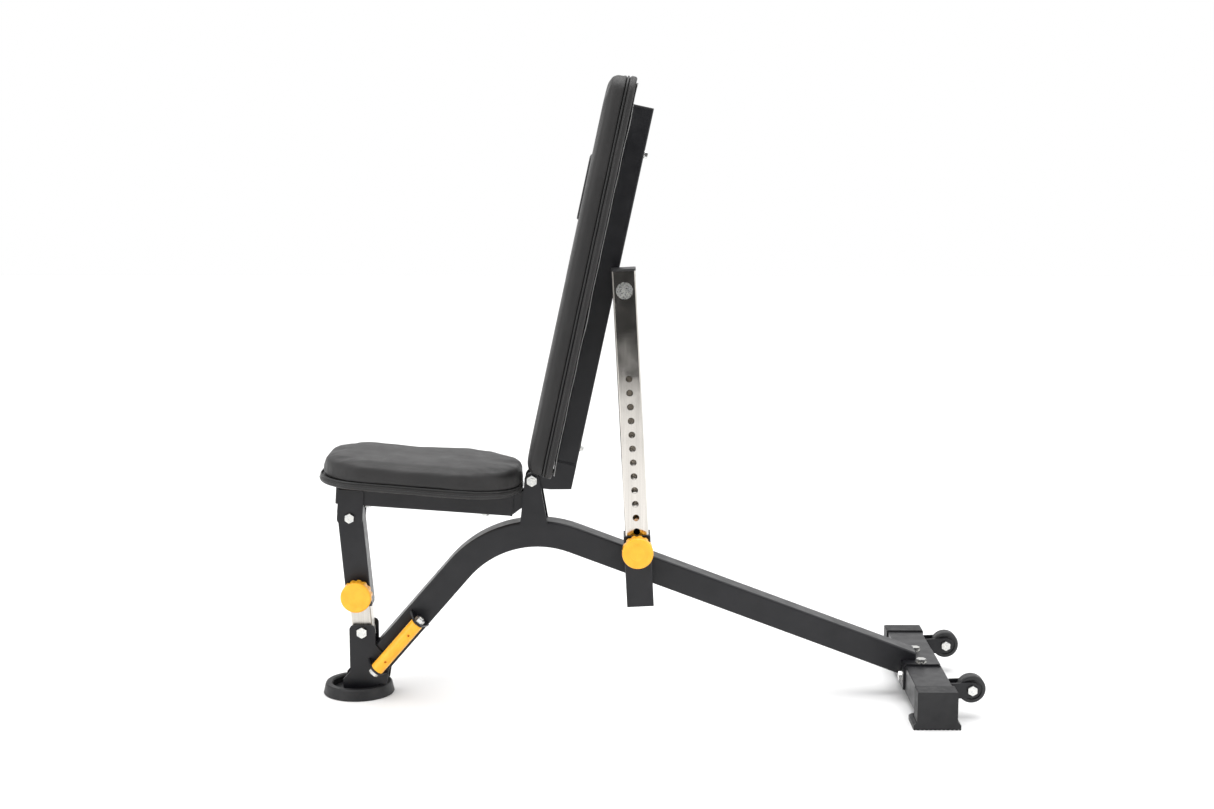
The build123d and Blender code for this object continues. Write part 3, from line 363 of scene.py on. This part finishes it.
class Outline:
    """A pad's plan as evenly spaced points: width w0 at x0, w1 at x1, round corners r0 and r1."""

    def __init__(self, x0, x1, w0, w1, r0, r1, count):
        corners = [(x0, -w0 / 2, r0), (x1, -w1 / 2, r1), (x1, w1 / 2, r1), (x0, w0 / 2, r0)]
        dense = []
        for k, (x, y, r) in enumerate(corners):
            before = Vector(corners[k - 1][:2]) - Vector((x, y))
            after = Vector(corners[(k + 1) % 4][:2]) - Vector((x, y))
            before.normalize()
            after.normalize()
            half = before.angle(after) / 2
            centre = Vector((x, y)) + (before + after).normalized() * (r / sin(half))
            start = Vector((x, y)) + before * (r / (sin(half) / cos(half)))
            end = Vector((x, y)) + after * (r / (sin(half) / cos(half)))
            a0 = atan2(start.y - centre.y, start.x - centre.x)
            turn = pi - 2 * half
            for i in range(33):
                a = a0 + turn * i / 32
                dense.append(Vector((centre.x + r * cos(a), centre.y + r * sin(a))))
            dense[-1] = end
        lengths = [0.0]
        for a, b in zip(dense, dense[1:] + dense[:1]):
            lengths.append(lengths[-1] + (b - a).length)
        self.total = lengths[-1]
        self.points = []
        self.normals = []
        k = 0
        for i in range(count):
            s = self.total * i / count
            while lengths[k + 1] <= s:
                k += 1
            a, b = dense[k], dense[(k + 1) % len(dense)]
            t = (s - lengths[k]) / max(lengths[k + 1] - lengths[k], 1e-9)
            self.points.append(a.lerp(b, t))
        for i, point in enumerate(self.points):
            along = self.points[(i + 1) % count] - self.points[i - 1]
            self.normals.append(Vector((along.y, -along.x)).normalized())

    def loop(self, inset, z):
        """The outline moved in by inset, at height z; both may be functions of the point's number."""
        out = []
        for i, (p, n) in enumerate(zip(self.points, self.normals)):
            d = inset(i) if callable(inset) else inset
            h = z(i) if callable(z) else z
            q = p - n * d
            out.append(Vector((q.x, q.y, h)))
        return out


def place(obj, matrix, body):
    """Moves a finished piece from its own frame to its place, and hangs it on its body."""
    obj.data.transform(matrix)
    obj.data.update()
    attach(obj, body)
    return obj


def wave(seed, s, size):
    """Smooth noise from -1 to 1 along s, repeatable."""
    return noise.noise(Vector((s / size, seed * 7.31, 0.0)))


# ================================ upholstery =====================================================
VOXEL, PRESSURE, SETTLING_FRAMES = 0.005, 4.0, 20
SWELL_LIMIT = 0.0025


def inflate(obj, pinned):
    """Swells a closed foam body as a tight vinyl skin, with the pinned part held still."""
    remesh = obj.modifiers.new("even", "REMESH")
    remesh.mode = "VOXEL"
    remesh.voxel_size = VOXEL
    apply_modifiers(obj)
    start = [v.co.copy() for v in obj.data.vertices]
    group = obj.vertex_groups.new(name="held")
    group.add([i for i, p in enumerate(start) if pinned(p)], 1.0, "REPLACE")
    cloth = obj.modifiers.new("skin", "CLOTH")
    settings = cloth.settings
    settings.quality = 5
    settings.mass = 0.35
    settings.tension_stiffness = 28.0
    settings.compression_stiffness = 18.0
    settings.shear_stiffness = 9.0
    settings.bending_stiffness = 0.6
    settings.use_pressure = True
    settings.uniform_pressure_force = PRESSURE
    settings.vertex_group_mass = "held"
    settings.effector_weights.gravity = 0.0
    cloth.point_cache.frame_start = 1
    cloth.point_cache.frame_end = SETTLING_FRAMES
    for step in range(1, SETTLING_FRAMES + 1):
        scene.frame_set(step)
    apply_modifiers(obj)
    scene.frame_set(1)
    for vertex, first in zip(obj.data.vertices, start):
        moved = vertex.co - first
        if moved.length > SWELL_LIMIT:
            vertex.co = first + moved * (SWELL_LIMIT / moved.length)


def smooth_and_divide(obj):
    """Evens out the remeshed skin and gives it one more level of faces."""
    smooth = obj.modifiers.new("ease", "SMOOTH")
    smooth.factor = 0.5
    smooth.iterations = 2
    divide = obj.modifiers.new("divide", "SUBSURF")
    divide.levels = 1
    divide.render_levels = 1
    apply_modifiers(obj)
    obj.data.shade_smooth()


def pucker(obj, outline, seam_z, corner):
    """Small gathers that run up from the seam round the corners, and a faint wave along the sides."""
    points = outline.points
    reach, gather_depth, wave_depth = 0.022, 0.0009, 0.0007
    for vertex in obj.data.vertices:
        p = vertex.co
        height = p.z - seam_z
        if height > reach:
            continue
        flat = Vector((p.x, p.y))
        i = min(range(0, len(points), 2), key=lambda k: (points[k] - flat).length_squared)
        s = i / len(points) * outline.total
        fade = max(0.0, 1.0 - height / reach) ** 2
        gather = gather_depth * corner(i) * wave(3, s, 0.0045) + wave_depth * wave(9, s, 0.05)
        normal = outline.normals[i]
        vertex.co = p + Vector((normal.x, normal.y, 0.0)) * (gather * fade)


def piping(name, outline, inset, z, radius, matrix, body):
    """A covered cord round the pad, sewn into the seam."""
    rings = 10
    verts, faces = [], []
    count = len(outline.points)
    for i, (p, n) in enumerate(zip(outline.points, outline.normals)):
        s = i / count * outline.total
        r = radius * (1 + 0.05 * wave(5, s, 0.012))
        lift = 0.0004 * wave(6, s, 0.06)
        for k in range(rings):
            a = 2 * pi * k / rings
            out = -inset + r * cos(a)
            verts.append((p.x + n.x * out, p.y + n.y * out, z + lift + r * sin(a)))
    total = count * rings
    for i in range(count):
        for k in range(rings):
            a, b = i * rings + k, i * rings + (k + 1) % rings
            faces.append((a, (a + rings) % total, (b + rings) % total, b))
    obj = new_object(name, verts, faces, PIPING)
    return place(obj, matrix, body)


STITCH_SHAPE = ((-0.5, 0.25, True), (-0.3, 1.0, False), (0.3, 1.0, False), (0.5, 0.25, True))


def sew(name, outline, pitch, radius, locate, capped, matrix, body):
    """A row of thread stitches along the outline, each a short rounded bar that dips at its ends."""
    verts, faces = [], []
    count = len(outline.points)
    number = int(outline.total / pitch)
    for k in range(number):
        s = k / number * count
        i = int(s)
        p = outline.points[i].lerp(outline.points[(i + 1) % count], s - i)
        n = outline.normals[i]
        along = Vector((-n.y, n.x))
        base = len(verts)
        for end, size, sunk in STITCH_SHAPE:
            centre = p + along * (end * pitch * 0.72)
            for a in range(6):
                angle = 2 * pi * a / 6
                verts.append(locate(centre, n, radius * size * cos(angle), radius * size * sin(angle), sunk))
        for ring in range(3):
            for a in range(6):
                b = (a + 1) % 6
                lo, hi = base + ring * 6, base + (ring + 1) * 6
                faces.append((lo + a, lo + b, hi + b, hi + a))
        if capped:
            faces.append(tuple(base + a for a in reversed(range(6))))
            faces.append(tuple(base + 18 + a for a in range(6)))
    obj = new_object(name, verts, faces, THREAD)
    return place(obj, matrix, body)


def side_stitches(name, outline, inset, z, matrix, body):
    """Stitches on the pad's side, sunk inwards at their ends."""
    def locate(centre, normal, across, up, sunk):
        out = -inset - 0.0005 * sunk + across
        return (centre.x + normal.x * out, centre.y + normal.y * out, z + up)
    return sew(name, outline, 0.0048, 0.00042, locate, True, matrix, body)


def flat_stitches(name, outline, z, matrix, body):
    """Stitches lying on an upward face, sunk downwards at their ends."""
    def locate(centre, normal, across, up, sunk):
        return (centre.x + normal.x * across, centre.y + normal.y * across, z - 0.0004 * sunk + up)
    return sew(name, outline, 0.0040, 0.0004, locate, False, matrix, body)


def board_wrap(name, outline, bottom, top, proud, matrix, body):
    """The vinyl drawn tight round the board's edge and turned under it, with faint pulls."""
    count = len(outline.points)

    def pull(i, seed, size):
        return 0.0005 * wave(seed, i / count * outline.total, size)

    height = top - bottom
    rows = ((0.030, 0.0002, 0), (0.008, 0.0, 0), (0.003, 0.0, 1), (0.0010, 0.0012, 1), (0.0, 0.0032, 1),
            (-0.0002, height * 0.5, 1), (0.0004, height - 0.0035, 1), (0.0018, height - 0.0012, 1),
            (0.005, height, 1), (0.020, height, 0))
    loops = []
    for inset, rise, moves in rounded_rows(rows):
        loops.append(outline.loop(lambda i, d=inset, m=moves: d - proud - m * pull(i, 11, 0.03),
                                  lambda i, h=rise, m=moves: bottom + h + m * pull(i, 12, 0.045)))
    verts, faces = loops_to_mesh(loops)
    obj = new_object(name, verts, faces, FINISHES["vinyl"])
    return place(obj, matrix, body)


def foam_body(name, outline, rows, pinned_below, crown):
    """A foam body under its vinyl: loops up the side, swollen by simulation, then shaped by crown."""
    loops = [outline.loop(inset, z) for inset, z in rows]
    verts, faces = loops_to_mesh(loops)
    obj = new_object(name, verts, faces, FINISHES["vinyl"])
    inflate(obj, lambda p: p.z < pinned_below)
    smooth_and_divide(obj)
    for vertex in obj.data.vertices:
        vertex.co.z += crown(vertex.co)
    return obj


# ---- backrest pad -------------------------------------------------------------------------------
def make_back_pad():
    """The backrest's foam under its vinyl, with the wrapped board, piping and stitches behind it."""
    outline = Outline(BACK_START, BACK_END, BACK_WIDTH, BACK_WIDTH, 0.030, 0.034, 720)
    seam = BACK_SEAM

    def crown(p):
        if p.z < 0.0:
            return 0.0
        across = min(abs(p.y) / 0.134, 1.0)
        ends = min((p.x - BACK_START) / 0.06, (BACK_END - p.x) / 0.06, 1.0)
        return 0.0018 * (1 - across ** 2) * max(ends, 0.0) * min(p.z / 0.01, 1.0)

    rows = [(0.030, seam), (0.005, seam), (0.0018, seam + 0.0020), (0.0006, seam + 0.005),
            (0.0, seam + 0.014), (0.0004, 0.0030), (0.0030, 0.0085), (0.0085, 0.0125), (0.0170, 0.0138)]
    body = foam_body("back_pad_foam", outline, rows, seam + 0.004, crown)
    pucker(body, outline, seam, corner_weight(outline, BACK_START, BACK_END, 0.05))
    place(body, BACK, "backrest")
    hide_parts("back_cushion")
    board_wrap("back_pad_board_wrap", outline, -0.0352, -0.0212, 0.0012, BACK, "backrest")
    piping("back_pad_piping", outline, 0.0016, seam - 0.0002, 0.0021, BACK, "backrest")
    side_stitches("back_pad_stitches", outline, -0.0016, -0.0262, BACK, "backrest")


def corner_weight(outline, x0, x1, reach):
    """How strongly the skin gathers at each outline point: 1 in the corners, 0 along the straight runs."""
    weights = []
    half_width = max(abs(q.y) for q in outline.points)
    for p in outline.points:
        end = min(p.x - x0, x1 - p.x)
        side = half_width - abs(p.y)
        weights.append(max(0.0, 1.0 - end / reach) * max(0.0, 1.0 - side / reach) ** 0.5)
    return lambda i: weights[i]


# ---- seat pad -----------------------------------------------------------------------------------
def make_seat_pad():
    """The seat's foam under its vinyl, with the wrapped board, piping and stitches below it."""
    outline = Outline(SEAT_FRONT, SEAT_REAR, SEAT_FRONT_WIDTH, SEAT_REAR_WIDTH, 0.090, 0.110, 560)
    seam = SEAT_SEAM

    def crown(p):
        if p.z < 0.0:
            return 0.0
        across = min(abs(p.y) / 0.125, 1.0)
        t = (p.x - SEAT_FRONT) / 0.39
        saddle = 0.0008 * cos(4 * pi * (t - 0.2)) - 0.0010 * (t - 0.5)
        return (0.0018 * (1 - across ** 2) + saddle) * min(p.z / 0.012, 1.0)

    def front_step(inset):
        """The foam stands back from the board's edge at the front."""
        return lambda i: inset + 0.0055 * max(0.0, 1 - (outline.points[i].x - SEAT_FRONT) / 0.06)

    rows = [(0.030, seam), (front_step(0.005), seam), (front_step(0.0016), seam + 0.0020),
            (front_step(0.0004), seam + 0.005), (front_step(0.0), seam + 0.016),
            (front_step(0.0003), 0.0145), (front_step(0.0026), 0.0205), (front_step(0.0080), 0.0246),
            (front_step(0.018), 0.0258)]
    body = foam_body("seat_pad_foam", outline, rows, seam + 0.004, crown)
    pucker(body, outline, seam, corner_weight(outline, SEAT_FRONT, SEAT_REAR, 0.10))
    place(body, SEAT, "seat")
    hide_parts("seat_cushion")
    board_wrap("seat_pad_board_wrap", outline, -0.0249, -0.0116, 0.0004, SEAT, "seat")
    piping("seat_pad_piping", outline, 0.0018, seam - 0.0002, 0.0020, SEAT, "seat")
    side_stitches("seat_pad_stitches", outline, -0.0016, -0.0182, SEAT, "seat")


# ---- raised panel on the backrest ---------------------------------------------------------------
def make_back_panel():
    """The plain raised panel: a rolled rim, a sewn groove inside it and a slightly higher middle."""
    outline = Outline(PANEL_START, PANEL_END, PANEL_WIDTH, PANEL_WIDTH, 0.012, 0.012, 220)
    base = PANEL_BASE
    rows = [(0.0, base), (-0.0002, base + 0.0030), (0.0006, base + 0.0052), (0.0022, base + 0.0062),
            (0.0042, base + 0.0056), (0.0056, base + 0.0044), (0.0076, base + 0.0050),
            (0.0100, base + 0.0055), (0.0115, base + 0.0056)]
    verts, faces = loops_to_mesh([outline.loop(inset, z) for inset, z in rounded_rows(rows)])
    panel = new_object("back_panel", verts, faces, FINISHES["vinyl"])
    place(panel, BACK, "backrest")
    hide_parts("back_patch")
    groove = 0.0058
    inner = Outline(PANEL_START + groove, PANEL_END - groove, PANEL_WIDTH - 2 * groove,
                    PANEL_WIDTH - 2 * groove, 0.007, 0.007, 220)
    flat_stitches("back_panel_stitches", inner, PANEL_BASE + 0.0047, BACK, "backrest")


# ---- backing sheet and staples ------------------------------------------------------------------
def make_backing_sheet():
    """The pale sheet over the back of the board: flat in the middle, loose along its edges."""
    width, length = 0.250, 0.750
    nx, ny = 150, 50
    verts, faces = [], []
    for i in range(nx + 1):
        for j in range(ny + 1):
            x = SHEET_START + length * i / nx
            y = width * (j / ny - 0.5)
            edge = max(0.0, 1 - (width / 2 - abs(y)) / 0.030)
            end = max(0.0, 1 - min(x - SHEET_START, SHEET_START + length - x) / 0.030)
            side = 1 if y > 0 else 5
            loose = 0.5 + 0.5 * noise.noise(Vector((x / 0.075, side, 0.0)))
            sag = 0.0042 * loose * edge ** 2 + 0.0015 * loose * end ** 2
            fine = 0.0003 * noise.noise(Vector((x / 0.02, y / 0.02, 2.0)))
            verts.append((x, y, SHEET_HEIGHT - sag + fine * (1 - edge)))
    for i in range(nx):
        for j in range(ny):
            a = i * (ny + 1) + j
            faces.append((a, a + 1, a + ny + 2, a + ny + 1))
    sheet = new_object("back_sheet", verts, faces, FINISHES["backing_cloth"])
    thick = sheet.modifiers.new("thickness", "SOLIDIFY")
    thick.thickness = 0.0006
    thick.offset = 0.0
    apply_modifiers(sheet)
    sheet.data.shade_smooth()
    place(sheet, BACK, "backrest")
    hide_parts("back_cover")
    staples()


def staples():
    """Wire staples round the backing sheet."""
    number, points = 44, 400
    outline = Outline(0.052, 0.770, 0.218, 0.218, 0.024, 0.024, points)
    verts, faces = [], []
    for k in range(number):
        i = int(k / number * points)
        p, n = outline.points[i], outline.normals[i]
        turn = 0.25 * wave(21, k, 1.7)
        along = Vector((-n.y * cos(turn) - n.x * sin(turn), n.x * cos(turn) - n.y * sin(turn)))
        across = Vector((along.y, -along.x))
        path = ((-0.005, 0.0009), (-0.005, -0.0002), (-0.0044, -0.0007), (0.0044, -0.0007),
                (0.005, -0.0002), (0.005, 0.0009))
        base = len(verts)
        for t, z in path:
            for dy, dz in ((-0.0006, -0.0003), (0.0006, -0.0003), (0.0006, 0.0003), (-0.0006, 0.0003)):
                q = p + along * t + across * dy
                verts.append((q.x, q.y, -0.0362 + z + dz))
        for r in range(len(path) - 1):
            for c in range(4):
                d = (c + 1) % 4
                lo, hi = base + r * 4, base + r * 4 + 4
                faces.append((lo + c, lo + d, hi + d, hi + c))
    obj = new_object("back_sheet_staples", verts, faces, FINISHES["zinc"], smooth=False)
    place(obj, BACK, "backrest")


# ================================ weld beads =====================================================
def weld(name, points, radius, body, seed):
    """A weld bead along points: overlapping ripples, thicker and thinner as a hand-run weld is."""
    verts, faces = [], []
    path = [Vector(p) for p in points]
    lengths = [0.0]
    for a, b in zip(path, path[1:]):
        lengths.append(lengths[-1] + (b - a).length)
    total = lengths[-1]
    steps = max(8, int(total / 0.0007))
    ring = 8
    k = 0
    for s in range(steps + 1):
        t = total * s / steps
        while k < len(path) - 2 and lengths[k + 1] < t:
            k += 1
        f = (t - lengths[k]) / max(lengths[k + 1] - lengths[k], 1e-9)
        centre = path[k].lerp(path[k + 1], f)
        along = (path[k + 1] - path[k]).normalized()
        side = along.cross(Vector((0.3, 0.9, 0.31))).normalized()
        other = along.cross(side)
        taper = min(1.0, t / 0.004 + 0.35, (total - t) / 0.004 + 0.35)
        ripple = abs(sin(pi * t / 0.0028))
        r = radius * taper * (0.86 + 0.16 * ripple + 0.10 * wave(seed, t, 0.009))
        for a in range(ring):
            angle = 2 * pi * a / ring
            verts.append(centre + side * (r * cos(angle)) + other * (r * sin(angle)))
    for s in range(steps):
        for a in range(ring):
            b = (a + 1) % ring
            faces.append((s * ring + a, s * ring + b, (s + 1) * ring + b, (s + 1) * ring + a))
    faces.append(tuple(reversed(range(ring))))
    faces.append(tuple(range(steps * ring, (steps + 1) * ring)))
    obj = new_object(name, verts, faces, FINISHES["frame_paint"])
    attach(obj, body)
    return obj


def local(matrix, *points):
    """Points of a rail's own frame, at their place in the bench."""
    return [matrix @ Vector(p) for p in points]


def make_welds():
    """Beads where the ears, crossbars and arm bracket meet their rails."""
    for side in (-1, 1):
        y = side * 0.0212
        ear = local(BACK, (0.046, y * 1.02, -0.0400), (0.046, y * 1.02, -0.0770))
        weld(f"weld_back_ear_{side + 1}", ear, 0.0022, "backrest", 1)
        for k, along in enumerate(CROSSBAR_PLACES):
            run = local(BACK, (along - 0.013, y, -0.0385), (along + 0.013, y, -0.0385))
            weld(f"weld_crossbar_{side + 1}_{k}", run, 0.0022, "backrest", 2 + k)
            end = local(BACK, (along - 0.0150, y * 0.9, -0.0387), (along - 0.0150, y * 0.2, -0.0387))
            weld(f"weld_crossbar_end_{side + 1}_{k}", end, 0.0018, "backrest", 4 + k)
        ear = local(SEAT, (-0.374, side * 0.0252, -0.0452), (-0.326, side * 0.0252, -0.0452))
        weld(f"weld_seat_ear_{side + 1}", ear, 0.0022, "seat", 6)
    for side in (-1, 1):
        run = local(BACK, (0.381, side * 0.0212, -0.0786), (0.426, side * 0.0212, -0.0786))
        weld(f"weld_arm_bracket_{side + 1}", run, 0.0022, "backrest", 8)


# ================================ studio =========================================================
def make_studio():
    """A large pale floor, a white surround, soft lights and a flag that darkens the chrome."""
    corners = [(-9.0, -9.0, -0.0003), (9.0, -9.0, -0.0003), (9.0, 9.0, -0.0003), (-9.0, 9.0, -0.0003)]
    new_object("studio_floor", corners, [(0, 1, 2, 3)], floor_finish(), smooth=False)

    world = bpy.data.worlds.new("studio")
    scene.world = world
    world.use_nodes = True
    background = world.node_tree.nodes["Background"]
    background.inputs["Color"].default_value = (1.0, 1.0, 1.0, 1.0)
    background.inputs["Strength"].default_value = 1.0

    def softbox(name, location, target, size, power):
        light = bpy.data.lights.new(name, "AREA")
        light.shape = "RECTANGLE"
        light.size, light.size_y = size
        light.energy = power
        obj = bpy.data.objects.new(name, light)
        obj.location = location
        direction = Vector(target) - Vector(location)
        obj.rotation_euler = direction.to_track_quat("-Z", "Y").to_euler()
        scene.collection.objects.link(obj)

    softbox("top_softbox", (0.0, 0.2, 3.0), (0.0, 0.0, 0.0), (3.2, 2.4), 45.0)
    softbox("left_softbox", (-2.8, -2.2, 1.8), (-0.1, 0.0, 0.5), (1.6, 2.0), 30.0)
    overhead = bpy.data.lights.new("overhead_wash", "SUN")
    overhead.energy = 1.1
    overhead.angle = radians(70)
    scene.collection.objects.link(bpy.data.objects.new("overhead_wash", overhead))
    softbox("right_softbox", (2.8, -1.8, 1.6), (0.1, 0.0, 0.4), (1.4, 1.8), 20.0)

    # a black flag in front, seen only in reflections, as a studio uses to shape polished metal
    flag_paint = Paint("black_flag", (0.012, 0.012, 0.012), 0.9).material
    flag_corners = [(-1.6, -2.9, 0.20), (1.6, -2.9, 0.20), (1.6, -2.9, 1.6), (-1.6, -2.9, 1.6)]
    flag = new_object("black_flag", flag_corners, [(0, 1, 2, 3)], flag_paint, smooth=False)
    flag.visible_camera = False
    flag.visible_diffuse = False
    flag.visible_shadow = False
    flag.visible_transmission = False


def make_camera():
    """The camera stands in front of the arm side, a little above the seat and tilted down."""
    yaw, pitch = radians(0.392), radians(9.10)
    camera = bpy.data.cameras.new("camera")
    camera.sensor_width = 36.0
    camera.lens = 56.37
    camera.clip_end = 50.0
    obj = bpy.data.objects.new("camera", camera)
    obj.location = (-0.054, -3.65, 1.1639)
    forward = Vector((-sin(yaw) * cos(pitch), cos(yaw) * cos(pitch), -sin(pitch)))
    obj.rotation_euler = forward.to_track_quat("-Z", "Y").to_euler()
    scene.collection.objects.link(obj)
    scene.camera = obj


# ================================ build ==========================================================
finish_cad_nodes()
make_back_pad()
make_seat_pad()
make_back_panel()
make_backing_sheet()
make_welds()
make_studio()
make_camera()
scene.view_settings.view_transform = "Standard"
